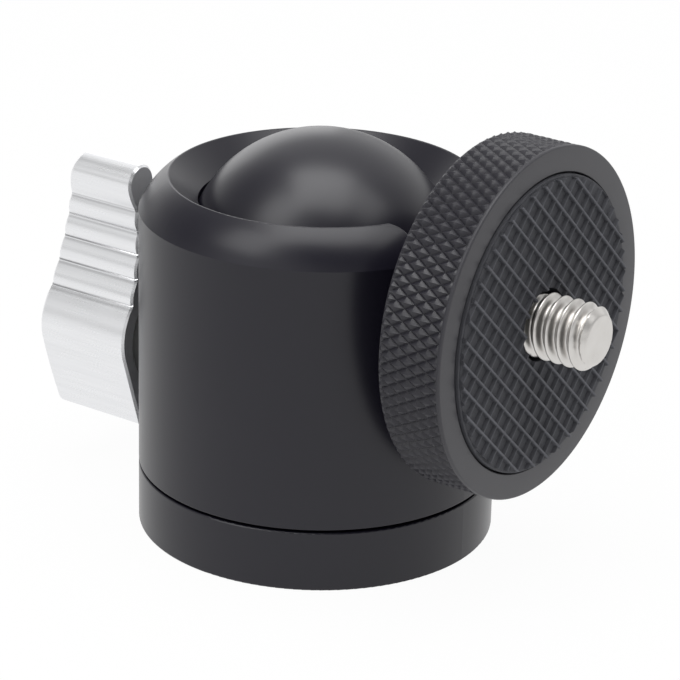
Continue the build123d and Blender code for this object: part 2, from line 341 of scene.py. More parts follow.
# %% Floor
floor_reach = 3.0
floor_glow = 0.96
floor_drop = 0.02 * MM
paper_white = 0.9
lit_to = 0.08
dim_from = 0.35
dim_level = 0.45
floor_mesh = bpy.data.meshes.new("floor")
floor_corners = [(-1, -1), (1, -1), (1, 1), (-1, 1)]
floor_points = [(x * floor_reach, y * floor_reach, -floor_drop) for x, y in floor_corners]
floor_mesh.from_pydata(floor_points, [], [(0, 1, 2, 3)])
floor_piece = bpy.data.objects.new("floor", floor_mesh)
bpy.context.scene.collection.objects.link(floor_piece)

paper = Finish("white_paper")
camera_ray, mirror_ray = ray_kinds(paper)
distance = paper.length(paper.place())
lit = paper.ramp(distance, (lit_to, 1), (dim_from, dim_level))
share = (camera_ray + mirror_ray * lit) * floor_glow
matt = paper.node("ShaderNodeBsdfDiffuse", {}, {"Color": grey(paper_white)})
glow = paper.node("ShaderNodeEmission", {}, {"Color": grey(1.0), "Strength": 1.0})
paper_mix = paper.node("ShaderNodeMixShader", {}, {"Fac": share, 1: matt, 2: glow})
below = paper.node("ShaderNodeNewGeometry", {}, {}, "Backfacing")
clear = paper.node("ShaderNodeBsdfTransparent", {}, {})
one_sided = paper.node("ShaderNodeMixShader", {}, {"Fac": below, 1: paper_mix, 2: clear})
paper.node("ShaderNodeOutputMaterial", {}, {"Surface": one_sided})
floor_mesh.materials.append(paper.material)
print("floor", 2 * floor_reach, "m across")

# %% [markdown]
# ## Lamps
#
# A soft bright patch with a slow edge is what shows that a ball is round and that a body is matt.
# Small lamps would leave hard dots, and the tent alone would leave no patch at all. So four square
# soft lamps stand above, at the left, at the right and low behind. Each is set by how far it
# reaches to each side and by how many times brighter than the cloth it is, because those two are
# what its reflection shows, at whatever distance it stands.

# %% Lamps
def soft_lamp(name, bearing, height, half_angle, brightness, reach=0.5):
    """A square soft lamp, half_angle degrees to each side and as bright as so many white cloths."""
    size = 2 * reach * tan(radians(half_angle))
    softbox = bpy.data.lights.new(name, "AREA")
    softbox.shape = "SQUARE"
    softbox.size = size
    softbox.energy = brightness * pi * size**2
    lamp = bpy.data.objects.new(name, softbox)
    bpy.context.scene.collection.objects.link(lamp)
    place = Vector((0, 0, ball_z)) + reach * towards(bearing, height)
    facing = towards(bearing, height).to_track_quat("Z", "Y").to_matrix().to_4x4()
    lamp.matrix_world = Matrix.Translation(place) @ facing
    print(name, "is", round(size, 2), "m wide and gives", round(softbox.energy, 2), "W")


soft_lamp("lamp_overhead", bearing=30, height=85, half_angle=20, brightness=3.7)
soft_lamp("lamp_left", bearing=-24, height=50, half_angle=13, brightness=2.7)
soft_lamp("lamp_right", bearing=108, height=57, half_angle=13, brightness=2.0)
soft_lamp("lamp_low", bearing=-130, height=10, half_angle=17, brightness=0.8)

# %% [markdown]
# ## Black anodised aluminium
#
# The body, the base plate, the ball and the disc are turned from aluminium, blasted matt and dyed
# black in the anodising bath. The dye layer is very dark. What is seen is mostly the soft
# reflection on its microscopic grain, so roughness and a fine bump matter more than colour. The
# turning tool also leaves rings that can only just be seen: a noise that is read from the distance
# to the axis and the place along it, and not from the angle, draws them.

# %% Turning rings
upright = (0, 0, 1)
along_neck = (1, 0, 0)


def turned_rings(finish, place, axis, size):
    """Noise that only changes along an axis and with the distance to it, as tool marks do."""
    sideways = tuple(1 - value for value in axis)
    radius = finish.length(finish.stretch(place, sideways))
    height = finish.along(place, axis)
    pair = finish.node("ShaderNodeCombineXYZ", {}, {"X": radius, "Y": height})
    return finish.noise(pair, size)


print("rings are turned about", upright, "and", along_neck)

# %% Anodised finish
blasted_grain = 0.09 * MM
tool_feed = 0.16 * MM
dye_clouds = 9 * MM
wear_and_highlight_reach = 0.14 * MM
face_fade = 0.25 * MM
dye_red = 0.0008
dye_blue = 0.0065
dye_spread = 0.2
cloud_rough = 0.07
grain_rough = 0.04


def dyed(level):
    """A black dye: slightly violet, as anodised black is under white light."""
    return (level + dye_red, level, level + dye_blue, 1)


def anodised(name, dye, roughness, ring_axis, ring_depth, grain_depth, wear_and_highlight, shine, face=None):
    """Dyed aluminium: dark colour, blasted grain, faint tool rings, worn edges and painted
    highlights.

    A face, given as (its place along the axis, its dye), is painted paler as painted light.
    """
    finish = Finish(name)
    place = finish.place()
    clouds = finish.noise(place, dye_clouds, detail=3.0)
    grain = finish.noise(place, blasted_grain, detail=1.0)
    rings = turned_rings(finish, place, ring_axis, tool_feed)
    edge = finish.edges(wear_and_highlight_reach)
    # The edges are painted paler: partly wear, partly painted highlights.
    wear_and_sheen = edge * finish.ramp(clouds, (0.35, 0.4), (0.65, 1.0))
    colour = finish.mix(dyed(dye * (1 - dye_spread)), dyed(dye * (1 + dye_spread)), clouds)
    # The face is painted paler than the rest: painted light.
    if face:
        face_at, painted_light_dye = face
        on_lit_face = finish.rise(finish.along(place, ring_axis), face_at - face_fade, face_at)
        colour = finish.mix(colour, dyed(painted_light_dye), on_lit_face)
    colour = finish.mix(colour, dyed(wear_and_highlight), wear_and_sheen)
    # The clouds move the roughness to both sides of its own value, and the grain adds a little.
    rough = clouds * cloud_rough + (roughness - cloud_rough / 2) + grain * grain_rough
    normal = finish.bump(grain, grain_depth)
    normal = finish.bump(rings, ring_depth, normal)
    return finish.surface(
        {
            "Base Color": colour,
            "Roughness": rough,
            "Normal": normal,
            "Specular IOR Level": shine,
        }
    )


print("black dye at 0.01 is", [round(value, 4) for value in dyed(0.01)])

# %% Black finishes
body_black = anodised(
    "body_black",
    dye=0.007,
    roughness=0.28,
    ring_axis=upright,
    ring_depth=0.0009 * MM,
    grain_depth=0.0012 * MM,
    wear_and_highlight=0.035,
    shine=0.42,
)
ball_black = anodised(
    "ball_black",
    dye=0.007,
    roughness=0.3,
    ring_axis=upright,
    ring_depth=0.0005 * MM,
    grain_depth=0.0007 * MM,
    wear_and_highlight=0.03,
    shine=0.5,
)
disc_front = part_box("platform_disc")[1].x
disc_black = anodised(
    "disc_black",
    dye=0.014,
    roughness=0.4,
    ring_axis=along_neck,
    ring_depth=0.0009 * MM,
    grain_depth=0.0012 * MM,
    wear_and_highlight=0.045,
    shine=0.45,
    # The disc's front face is painted paler than its rim: painted light.
    face=(disc_front, 0.045),
)
dress("housing", body_black)
dress("base_plate", body_black)
dress("ball_stem", ball_black)

# %% [markdown]
# ## Small metal pieces
#
# The stud and the tripod thread are stainless steel, turned and left bright. The clamp screw and
# the washers are zinc plated, which is greyer and a little cloudy. The bush is brass and the pan
# ring is bare aluminium. They differ in colour, roughness and how deep the tool rings are, so one
# function makes them all.

# %% Turned metal
metal_clouds = 1.5 * MM
fine_feed = 0.05 * MM
ring_rough = 0.1
spot_rough = 0.08


def turned_metal(name, dark, light, roughness, ring_axis, ring_depth):
    """Bare metal between a dark and a light colour, with rings left by the turning tool."""
    finish = Finish(name)
    place = finish.place()
    clouds = finish.noise(place, metal_clouds, detail=3.0)
    rings = turned_rings(finish, place, ring_axis, fine_feed)
    colour = finish.mix(dark, light, clouds * 0.7 + rings * 0.3)
    lowest = roughness - (ring_rough + spot_rough) / 2
    rough = rings * ring_rough + clouds * spot_rough + lowest
    normal = finish.bump(rings, ring_depth)
    return finish.surface(
        {"Base Color": colour, "Metallic": 1.0, "Roughness": rough, "Normal": normal}
    )


print("turned metal has a ring about every", round(fine_feed / MM, 2), "mm")

# %% Steel, brass and aluminium
zinc_colours = {"dark": (0.4, 0.41, 0.43, 1), "light": (0.6, 0.6, 0.61, 1)}
stainless = turned_metal(
    "turned_stainless",
    dark=(0.55, 0.53, 0.505, 1),
    light=(0.73, 0.715, 0.695, 1),
    roughness=0.3,
    ring_axis=along_neck,
    ring_depth=0.0012 * MM,
)
base_stainless = turned_metal(
    "insert_stainless",
    dark=(0.6, 0.585, 0.56, 1),
    light=(0.8, 0.79, 0.77, 1),
    roughness=0.24,
    ring_axis=upright,
    ring_depth=0.0012 * MM,
)
zinc_steel = turned_metal(
    "zinc_steel", **zinc_colours, roughness=0.34, ring_axis=upright, ring_depth=0.001 * MM
)
brass = turned_metal(
    "turned_brass",
    dark=(0.62, 0.45, 0.2, 1),
    light=(0.82, 0.66, 0.36, 1),
    roughness=0.28,
    ring_axis=along_neck,
    ring_depth=0.0012 * MM,
)
bare_aluminium = turned_metal(
    "bare_aluminium",
    dark=(0.6, 0.6, 0.62, 1),
    light=(0.8, 0.8, 0.82, 1),
    roughness=0.3,
    ring_axis=upright,
    ring_depth=0.0015 * MM,
)
clamp_steel = turned_metal(
    "clamp_steel", **zinc_colours, roughness=0.3, ring_axis=along_neck, ring_depth=0.001 * MM
)
for name in ("pan_thrust_washer", "pan_disc_spring", "pan_circlip", "wedge_slider"):
    dress(name, zinc_steel)
dress("clamp_bush", brass)
dress("pan_ring", bare_aluminium)

# %% [markdown]
# ## Plastic and rubber
#
# The ball sits in a cup of white acetal, and black plastic washers keep metal off metal. The camera
# rests on a rubber pad. Rubber takes hardly any light back, but its raised places are rubbed and
# dusty, which makes them paler, and they are painted paler still as a painted sheen. So its finish
# knows how high a point stands on the pad.

# %% Plastic finish
plastic_clouds = 3 * MM
plastic_grain = 0.12 * MM
plastic_grain_depth = 0.003 * MM
sheen_rough = 0.1
mould_rough = 0.08


def moulded(name, dark, light, roughness):
    """Plastic between a dark and a light level of grey, with the fine grain of its mould."""
    finish = Finish(name)
    place = finish.place()
    clouds = finish.noise(place, plastic_clouds, detail=3.0)
    grain = finish.noise(place, plastic_grain, detail=1.0)
    colour = finish.mix(grey(dark), grey(light), clouds)
    lowest = roughness - (sheen_rough + mould_rough) / 2
    rough = clouds * sheen_rough + grain * mould_rough + lowest
    normal = finish.bump(grain, plastic_grain_depth)
    return finish.surface({"Base Color": colour, "Roughness": rough, "Normal": normal})


black_plastic = moulded("black_plastic", dark=0.018, light=0.034, roughness=0.5)
white_plastic = moulded("white_acetal", dark=0.8, light=0.87, roughness=0.4)
for name in ("pan_friction_washer", "lever_washer"):
    dress(name, black_plastic)
dress("ball_seat", white_plastic)

# %% Rubber finish
rubber_clouds = 2 * MM
rubber_grain = 0.07 * MM
rubber_grain_depth = 0.006 * MM
rubber_black = (0.042, 0.043, 0.051, 1)
worn_and_sheen_grey = (0.105, 0.108, 0.124, 1)
dust_grey = grey(0.09)
rubber_rough = 0.62
rubbed_rough = 0.15


def rubber(name, axis, low, high):
    """Rubber paler towards its raised side, at high along the axis: wear and painted sheen."""
    finish = Finish(name)
    place = finish.place()
    raised = finish.rise(finish.along(place, axis), low, high)
    clouds = finish.noise(place, rubber_clouds, detail=4.0)
    grain = finish.noise(place, rubber_grain)
    patches = finish.ramp(clouds, (0.3, 0.6), (0.7, 1.0))
    # The raised side is painted paler: partly wear and dust, partly painted sheen.
    wear_and_sheen = finish.ramp(raised, (0.6, 0.0), (1.0, 1.0)) * patches
    dust = finish.ramp(grain, (0.68, 0.0), (0.8, 0.5))
    colour = finish.mix(rubber_black, worn_and_sheen_grey, wear_and_sheen)
    colour = finish.mix(colour, dust_grey, dust)
    rough = clouds * rubbed_rough + rubber_rough
    normal = finish.bump(grain, rubber_grain_depth)
    return finish.surface({"Base Color": colour, "Roughness": rough, "Normal": normal})


print("rubber has a grain of", round(rubber_grain / MM, 2), "mm")

# %% [markdown]
# ## Rings round an axis
#
# A turned piece is a stack of rings. Each ring is a rule that gives, for an angle, how far out the
# point lies and how far along the axis. A plain ring gives the same for every angle, a threaded or
# knurled one doesn't, and so one helper serves for discs, threads and screw heads. Four neighbours
# of the grid make a square. Where a groove crosses it, the square bends, and it has to bend along
# the diagonal that lies lower, or the groove would be bridged.

# %% Faces over a grid
nearly_flat = 0.002 * MM


def split_square(corners, heights):
    """One square where it is nearly flat, or else two triangles that meet on the lower diagonal."""
    first, second, third, fourth = corners
    rising = heights[first] + heights[third] - heights[second] - heights[fourth]
    if abs(rising) < nearly_flat:
        return [corners]
    if rising < 0:
        return [(first, second, third), (first, third, fourth)]
    return [(first, second, fourth), (second, third, fourth)]


def grid_faces(rows, columns, heights, join_rows, join_columns):
    """Faces over a grid of points numbered row by row, joined end to end where asked."""
    faces = []
    for row in range(rows if join_rows else rows - 1):
        for column in range(columns if join_columns else columns - 1):
            across = (column + 1) % columns
            up = (row + 1) % rows
            corners = (
                row * columns + column,
                row * columns + across,
                up * columns + across,
                up * columns + column,
            )
            faces += split_square(corners, heights)
    return faces


print("a grid of 3 by 4 points has", len(grid_faces(3, 4, [0] * 12, False, False)), "squares")


# %% Meshes from points
def shape_from(points, faces):
    """A shape that can still be worked on."""
    shape = bmesh.new()
    corners = [shape.verts.new(point) for point in points]
    for face in faces:
        shape.faces.new([corners[index] for index in face])
    return shape


def mesh_from(name, shape):
    """The finished mesh of a closed shape, with all its faces looking outwards."""
    bmesh.ops.recalc_face_normals(shape, faces=shape.faces)
    mesh = bpy.data.meshes.new(name)
    shape.to_mesh(mesh)
    shape.free()
    return mesh


def turned_mesh(name, rings, columns, axis, looped):
    """A closed mesh from rings: a looped one joins its last ring to its first, another has ends."""
    angles = [2 * pi * column / columns for column in range(columns)]
    turned = [ring(angle) for ring in rings for angle in angles]
    points = []
    for index, (radius, along) in enumerate(turned):
        angle = angles[index % columns]
        points.append(axis @ Vector((radius * cos(angle), radius * sin(angle), along)))
    faces = grid_faces(len(rings), columns, [radius for radius, along in turned], looped, True)
    if not looped:
        last = (len(rings) - 1) * columns
        faces.append(tuple(range(columns)))
        faces.append(tuple(range(last, last + columns)))
    return mesh_from(name, shape_from(points, faces))


print("mesh helpers ready")


# %% Sections
def ring_at(radius, along):
    """A plain round ring."""
    return lambda angle: (radius, along)


def arc(centre_r, centre_along, radius, start, end, steps):
    """Points of a round corner in a piece's section, as (radius, along) pairs."""
    turns = [start + (end - start) * step / steps for step in range(steps + 1)]
    return [(centre_r + radius * cos(turn), centre_along + radius * sin(turn)) for turn in turns]


def steps_between(start, end, step):
    """Places from start to end, evenly spaced and no further apart than step."""
    count = ceil((end - start) / step)
    return [start + (end - start) * index / count for index in range(count + 1)]


print("from 0 to 1 in thirds or less:", [round(place, 2) for place in steps_between(0, 1, 1 / 3)])


# %% Showing a piece
def add_piece(mesh, finish, body, node, sharp):
    """Shows a mesh as the piece that stands for a packed node, smooth up to sharp degrees."""
    mesh.shade_smooth()
    mesh.set_sharp_from_angle(angle=radians(sharp))
    mesh.materials.clear()
    mesh.materials.append(finish)
    piece = bpy.data.objects.new(mesh.name, mesh)
    bpy.context.scene.collection.objects.link(piece)
    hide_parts(node)
    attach(piece, body)
    print(mesh.name, "has", len(mesh.polygons), "faces")


print("ready to show pieces")

# %% [markdown]
# ## The knurled disc
#
# A camera is screwed on by turning this disc with the fingers, so its rim is knurled: hardened
# wheels roll two families of grooves into it, winding opposite ways, and leave small pyramids.
# Where both families are counted in whole diamonds round the rim, a point's distance to the nearest
# groove is plain arithmetic, and the lesser of the two distances gives the pyramid. The wheels stop
# just short of the front, so a narrow smooth land is left there, and every groove ends against it.

# %% Knurl
disc_low, disc_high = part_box("platform_disc")
pad_low, pad_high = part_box("platform_pad")
disc_back = disc_low.x
disc_r = (disc_high.z - disc_low.z) / 2
diamonds = 90
diamond_length = 2.03 * MM
diamond_steps = 8
knurl_depth = 0.3 * MM


def knurl_cut(angle, along):
    """How far the knurl lies below the rim."""
    round_rim = angle * diamonds / (2 * pi)
    along_rim = (along - disc_back) / diamond_length
    families = (round_rim + along_rim, round_rim - along_rim)
    to_groove = min(abs(turn - round(turn)) for turn in families)
    return knurl_depth * (1 - sin(pi * to_groove))


def knurled_ring(radius, along):
    """A ring of the rim, cut by the knurl wherever the knurl lies deeper than the ring."""
    return lambda angle: (min(radius, disc_r - knurl_cut(angle, along)), along)


print(diamonds, "diamonds round the rim")

# %% Disc
disc_chamfer = 0.3 * MM
disc_round = 0.2 * MM
disc_land = 0.42 * MM
groove_end = 0.07 * MM
disc_bore_r = 2.8 * MM
disc_sharp = 32
recess_r = 14.3 * MM
recess_break = 0.08 * MM


def disc_rings():
    """From the bore over the back, the knurled rim and the front to the recess's floor."""
    row = diamond_length / diamond_steps
    land_start = disc_front - disc_land
    # The knurl's rows keep half a row from the chamfer and a quarter from the land.
    first = ceil(disc_chamfer / row + 0.5)
    last = int((land_start - disc_back) / row - 0.25)
    rings = [ring_at(disc_bore_r, disc_back), ring_at(disc_r - 2 * disc_chamfer, disc_back)]
    rings.append(knurled_ring(disc_r - disc_chamfer, disc_back))
    rings.append(knurled_ring(disc_r, disc_back + disc_chamfer))
    rings += [knurled_ring(disc_r, disc_back + index * row) for index in range(first, last + 1)]
    rings.append(knurled_ring(disc_r, land_start))
    rings.append(ring_at(disc_r, land_start + groove_end))
    round_r = disc_r - disc_round
    corner = arc(round_r, disc_front - disc_round, disc_round, 0, quarter_turn, steps=5)
    rings += [ring_at(radius, along) for radius, along in corner]
    rings.append(ring_at(recess_r + recess_break, disc_front))
    rings.append(ring_at(recess_r, disc_front - recess_break))
    rings.append(ring_at(recess_r, pad_low.x))
    rings.append(ring_at(disc_bore_r, pad_low.x))
    return rings


disc_mesh = turned_mesh("knurled_disc", disc_rings(), diamonds * diamond_steps, neck_axis, True)
add_piece(disc_mesh, disc_black, "platform", "platform_disc", disc_sharp)

# %% [markdown]
# ## The rubber pad
#
# A rubber pad sits in the disc's recess, stands a little proud of it and grips the camera. Two
# families of straight ridges cross on it, nearly at right angles, and a narrow step runs round
# them. The ridges are simple on a grid whose lines run along them: the surface stands as high as
# the higher of the two. That sheet is then punched to the pad's shape with a boolean, just as a pad
# is punched from sheet rubber, and a second boolean joins the step to it.

# %% Lattice sheet
ridge_height = 0.4 * MM
pad_r = (pad_high.z - pad_low.z) / 2
pad_hole_r = 3.5 * MM
lattice_r = pad_r - 0.25 * MM
shoulder_rise = 0.85


class Ridges:
    """Parallel ridges across the pad, facing one direction in its plane: lines as (place, rise)."""

    def __init__(self, facing, pitch, shift, height, top, foot):
        self.facing = Vector((cos(facing), sin(facing)))
        self.lines = []
        count = ceil(pad_r / pitch) + 1
        left = [(-foot, 0), (-top, shoulder_rise), (-0.5 * top, 1)]
        right = [(0.5 * top, 1), (top, shoulder_rise), (foot, 0)]
        for ridge in range(-count, count + 1):
            for side, rise in left + right:
                self.lines.append((shift + ridge * pitch + side / 2, rise * height))


def lattice_sheet(first, second):
    """A block whose upper side carries both families of ridges."""
    crossing = Matrix((first.facing, second.facing)).inverted()
    points = []
    for place_first, rise_first in first.lines:
        for place_second, rise_second in second.lines:
            y, z = crossing @ Vector((place_first, place_second))
            below = ridge_height - max(rise_first, rise_second)
            points.append(Vector((pad_high.x - below, y, z + ball_z)))
    heights = [point.x for point in points]
    faces = grid_faces(len(first.lines), len(second.lines), heights, False, False)
    shape = shape_from(points, faces)
    rim = [edge for edge in shape.edges if edge.is_boundary]
    skirt = bmesh.ops.extrude_edge_only(shape, edges=rim)["geom"]
    for part in skirt:
        if isinstance(part, bmesh.types.BMVert):
            part.co.x = pad_low.x
    bmesh.ops.edgeloop_fill(shape, edges=[edge for edge in shape.edges if edge.is_boundary])
    return mesh_from("lattice_sheet", shape)


crisp = Ridges(
    facing=radians(46.6),
    pitch=1.65 * MM,
    shift=0.835 * MM,
    height=ridge_height,
    top=0.22 * MM,
    foot=0.42 * MM,
)
broad = Ridges(
    facing=radians(-42.1),
    pitch=1.71 * MM,
    shift=-0.84 * MM,
    height=0.8 * ridge_height,
    top=0.16 * MM,
    foot=0.5 * MM,
)
print("grid lines of the two families:", len(crisp.lines), "and", len(broad.lines))


# %% Booleans
def combined(name, mesh, *steps):
    """A mesh changed by booleans with other meshes, one (operation, mesh) after another."""
    piece = bpy.data.objects.new(name, mesh)
    bpy.context.scene.collection.objects.link(piece)
    tools = []
    for operation, tool_mesh in steps:
        tool = bpy.data.objects.new("tool", tool_mesh)
        bpy.context.scene.collection.objects.link(tool)
        change = piece.modifiers.new("change", "BOOLEAN")
        change.operation = operation
        change.object = tool
        change.solver = "EXACT"
        tools.append(tool)
    changed = piece.evaluated_get(bpy.context.evaluated_depsgraph_get())
    result = bpy.data.meshes.new_from_object(changed)
    result.name = name
    for used in [piece] + tools:
        bpy.data.objects.remove(used)
    return result


print("booleans ready")

# %% Punching the pad
border_drop = 0.04 * MM
border_round = 0.1 * MM
border_lap = 0.1 * MM
pad_columns = 144
pad_sharp = 20
punch_from = pad_low.x - ridge_height
punch_to = pad_high.x + ridge_height
punch_rings = [
    ring_at(pad_hole_r, punch_from),
    ring_at(lattice_r, punch_from),
    ring_at(lattice_r, punch_to),
    ring_at(pad_hole_r, punch_to),
]
border_r = pad_r - border_round
border_top = pad_high.x - ridge_height - border_drop
border_corner = arc(border_r, border_top - border_round, border_round, 0, quarter_turn, steps=3)
border_rings = [ring_at(lattice_r - border_lap, pad_low.x), ring_at(pad_r, pad_low.x)]
border_rings += [ring_at(radius, along) for radius, along in border_corner]
border_rings.append(ring_at(lattice_r - border_lap, border_top))
pad_mesh = combined(
    "lattice_pad",
    lattice_sheet(crisp, broad),
    ("INTERSECT", turned_mesh("punch", punch_rings, pad_columns, neck_axis, True)),
    ("UNION", turned_mesh("border", border_rings, pad_columns, neck_axis, True)),
)
pad_rubber = rubber("pad_rubber", along_neck, pad_high.x - ridge_height, pad_high.x)
add_piece(pad_mesh, pad_rubber, "platform", "platform_pad", pad_sharp)

# %% [markdown]
# ## Threads
#
# Camera and tripod threads are the same quarter inch screw, with 20 turns to the inch. A thread is
# a ring whose radius rises and falls once per turn, and whose crest moves along the axis by one
# pitch in each turn. A rolled thread has rounded crests and roots, so a cosine gives its section.
# The end was chamfered after threading, so again the smaller of two radii wins. The root is flat
# for a few hundredths of the pitch.

# %% Thread helpers
quarter_inch_pitch = 1.27 * MM
root_from = 0.92
thread_sharp = 40


def thread_rise(angle, along, pitch, start):
    """Height of a right-handed thread at a point: 1 on its crest, 0 in its root."""
    turns = (along - start) / pitch - angle / (2 * pi)
    from_crest = 2 * abs(turns - round(turns))
    return 0.5 + 0.5 * cos(pi * min(1, from_crest / root_from))


def threaded_ring(root_r, crest_r, along, pitch, start, limit, chosen=min):
    """A ring of a thread, or of the chamfer's limiting radius where chosen takes that instead."""

    def ring(angle):
        rise = thread_rise(angle, along, pitch, start)
        return (chosen(limit, root_r + (crest_r - root_r) * rise), along)

    return ring


print("threads per inch:", round(25.4 * MM / quarter_inch_pitch))

# %% Camera stud
stud_low, stud_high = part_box("camera_screw")
stud_r = (stud_high.z - stud_low.z) / 2
stud_root_r = 2.45 * MM
stud_shank_r = 2.8 * MM
stud_chamfer = 0.85 * MM
stud_break = 0.07 * MM
stud_crest_at = 26.9 * MM
stud_step = quarter_inch_pitch / 22
thread_columns = 144
thread_start = pad_low.x + (pad_high.x - pad_low.x) / 2


def stud_rings():
    """From the shank's end, which the disc hides, along the thread to the flat tip."""
    tip = stud_high.x
    rings = [ring_at(stud_shank_r, stud_low.x), ring_at(stud_shank_r, thread_start)]
    crest_start = stud_crest_at - quarter_inch_pitch / 4
    end = tip - stud_break
    for along in steps_between(thread_start, end, stud_step):
        limit = stud_r - max(0, along - (tip - stud_chamfer))
        rings.append(
            threaded_ring(stud_root_r, stud_r, along, quarter_inch_pitch, crest_start, limit)
        )
    end_r = stud_r - stud_chamfer
    rings.append(ring_at(end_r - stud_break / 2, tip))
    rings.append(ring_at(end_r - 3 * stud_break, tip))
    return rings


stud_mesh = turned_mesh("threaded_stud", stud_rings(), thread_columns, neck_axis, False)
add_piece(stud_mesh, stainless, "platform", "camera_screw", thread_sharp)

# %% [markdown]
# ## The underside
#
# The head stands on a moulded rubber ring with round ribs, and screws onto the tripod by a steel
# insert with an inside thread. An inside thread is the same rule turned inside out: its crest is
# its smallest radius, and at the mouth's chamfer the larger of the two radii wins. The ribs are
# one wave along the radius, raised to a power, which makes the ribs broad and the grooves narrow.

# %% Ribbed base pad
sole_low, sole_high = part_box("base_pad")
sole_hole_r = 7.05 * MM
sole_ribs = 6
rib_steps = 10
rib_groove = 0.28 * MM
groove_power = 6
sole_round = 0.12 * MM
sole_sharp = 50


def sole_section():
    """The ring's section as (radius, along) pairs: ribs below, a flat back above."""
    inner = sole_hole_r + sole_round
    outer = sole_high.x - sole_round
    section = [(sole_hole_r, sole_high.z), (sole_hole_r, sole_low.z + sole_round)]
    for step in range(sole_ribs * rib_steps + 1):
        turn = step / rib_steps
        groove = abs(cos(pi * turn)) ** groove_power if 0 < turn < sole_ribs else 0
        radius = inner + (outer - inner) * turn / sole_ribs
        section.append((radius, sole_low.z + rib_groove * groove))
    return section + [(sole_high.x, sole_low.z + sole_round), (sole_high.x, sole_high.z)]


sole_rings = [ring_at(radius, along) for radius, along in sole_section()]
sole_rubber = rubber("sole_rubber", (0, 0, -1), -rib_groove, 0)
sole_mesh = turned_mesh("ribbed_sole", sole_rings, pad_columns, base_axis, True)
add_piece(sole_mesh, sole_rubber, "base", "base_pad", sole_sharp)

# %% Tripod thread
insert_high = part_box("base_thread_insert")[1]
tapped_r = 2.6 * MM
tapped_root_r = 3.2 * MM
mouth_r = 3.45 * MM
insert_break = 0.15 * MM
tapped_step = quarter_inch_pitch / 12


def insert_rings():
    """Up the outside and back down the thread to its mouth."""
    outer_r = insert_high.x
    top = insert_high.z
    rings = [ring_at(outer_r - insert_break, 0), ring_at(outer_r, insert_break)]
    rings.append(ring_at(outer_r, top))
    for along in reversed(steps_between(0, top, tapped_step)):
        mouth = mouth_r - along
        rings.append(
            threaded_ring(tapped_root_r, tapped_r, along, quarter_inch_pitch, 0, mouth, max)
        )
    return rings


insert_mesh = turned_mesh("tripod_thread", insert_rings(), thread_columns, base_axis, True)
add_piece(insert_mesh, base_stainless, "base", "base_thread_insert", thread_sharp)

# %% [markdown]
# ## The clamp's screws
#
# The clamp screw has a metric thread, 6 mm across and 1 mm from crest to crest, and a plain dog
# that pushes the wedge. A socket screw through the lever's hub holds the lever to it. Its socket is
# a hexagon, which is a ring too: its radius is the distance to the middle of a flat, divided by the
# cosine of the angle from there.

# %% Socket screw
head_low, head_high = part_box("lever_screw")
head_r = (head_high.z - head_low.z) / 2
head_top = -head_low.x
head_height = 1.7 * MM
head_seat = head_top - head_height
head_round = 0.25 * MM
head_sharp = 30
small_shank_r = 1.5 * MM
hex_half = 1.25 * MM
hex_depth = 1.0 * MM
hex_break = 0.15 * MM
screw_columns = 96


def hex_ring(half, along):
    """A hexagon whose flats lie half away from the axis."""
    sixth = pi / 3
    return lambda angle: (half / cos((angle + sixth / 2) % sixth - sixth / 2), along)


def socket_screw_rings():
    """From the shank's end over the head and down into the socket."""
    end = -head_high.x
    rings = [ring_at(small_shank_r - hex_break, end), ring_at(small_shank_r, end + hex_break)]
    rings += [ring_at(small_shank_r, head_seat), ring_at(head_r, head_seat)]
    round_r = head_r - head_round
    corner = arc(round_r, head_top - head_round, head_round, 0, quarter_turn, steps=4)
    rings += [ring_at(radius, along) for radius, along in corner]
    rings.append(ring_at(hex_half / cos(pi / 6) + hex_break, head_top))
    rings.append(hex_ring(hex_half, head_top - hex_break))
    rings.append(hex_ring(hex_half, head_top - hex_depth))
    return rings


socket_mesh = turned_mesh("socket_screw", socket_screw_rings(), screw_columns, clamp_axis, False)
add_piece(socket_mesh, clamp_steel, "lever", "lever_screw", head_sharp)

# %% Clamp screw
clamp_low, clamp_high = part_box("clamp_screw")
clamp_r = (clamp_high.z - clamp_low.z) / 2
clamp_root_r = 2.45 * MM
clamp_pitch = 1.0 * MM
clamp_step = clamp_pitch / 12
dog_r = 1.6 * MM
dog_length = 1.56 * MM
dog_break = 0.2 * MM
thread_break = 0.5 * MM


def clamp_screw_rings():
    """From the dog's end along the thread, and down the hole that the socket screw is in."""
    start = -clamp_high.x
    end = -clamp_low.x
    neck = start + dog_length
    rings = [ring_at(dog_r - dog_break, start), ring_at(dog_r, start + dog_break)]
    rings.append(ring_at(dog_r, neck))
    for along in steps_between(neck, end, clamp_step):
        limit = clamp_r - max(0, neck + thread_break - along, along + thread_break - end)
        rings.append(threaded_ring(clamp_root_r, clamp_r, along, clamp_pitch, 0, limit))
    rings.append(ring_at(small_shank_r, end))
    rings.append(ring_at(small_shank_r, -head_high.x))
    return rings


clamp_mesh = turned_mesh("clamp_thread", clamp_screw_rings(), screw_columns, clamp_axis, False)
add_piece(clamp_mesh, clamp_steel, "lever", "clamp_screw", thread_sharp)

# %% [markdown]
# ## The clamp lever
#
# The lever is a slice of a drawn aluminium bar, anodised silver. The bar's section is the lever's
# outline: a round tip, ribs for the fingers, round shoulders and a square heel. So its width is a
# rule of the place along the arm, and the slice is that outline at a few depths, with its edges
# broken. Between two ribs the die left a fine bead, whose two sides make a double line. The back is
# crowned, and the screws' holes are cut last.

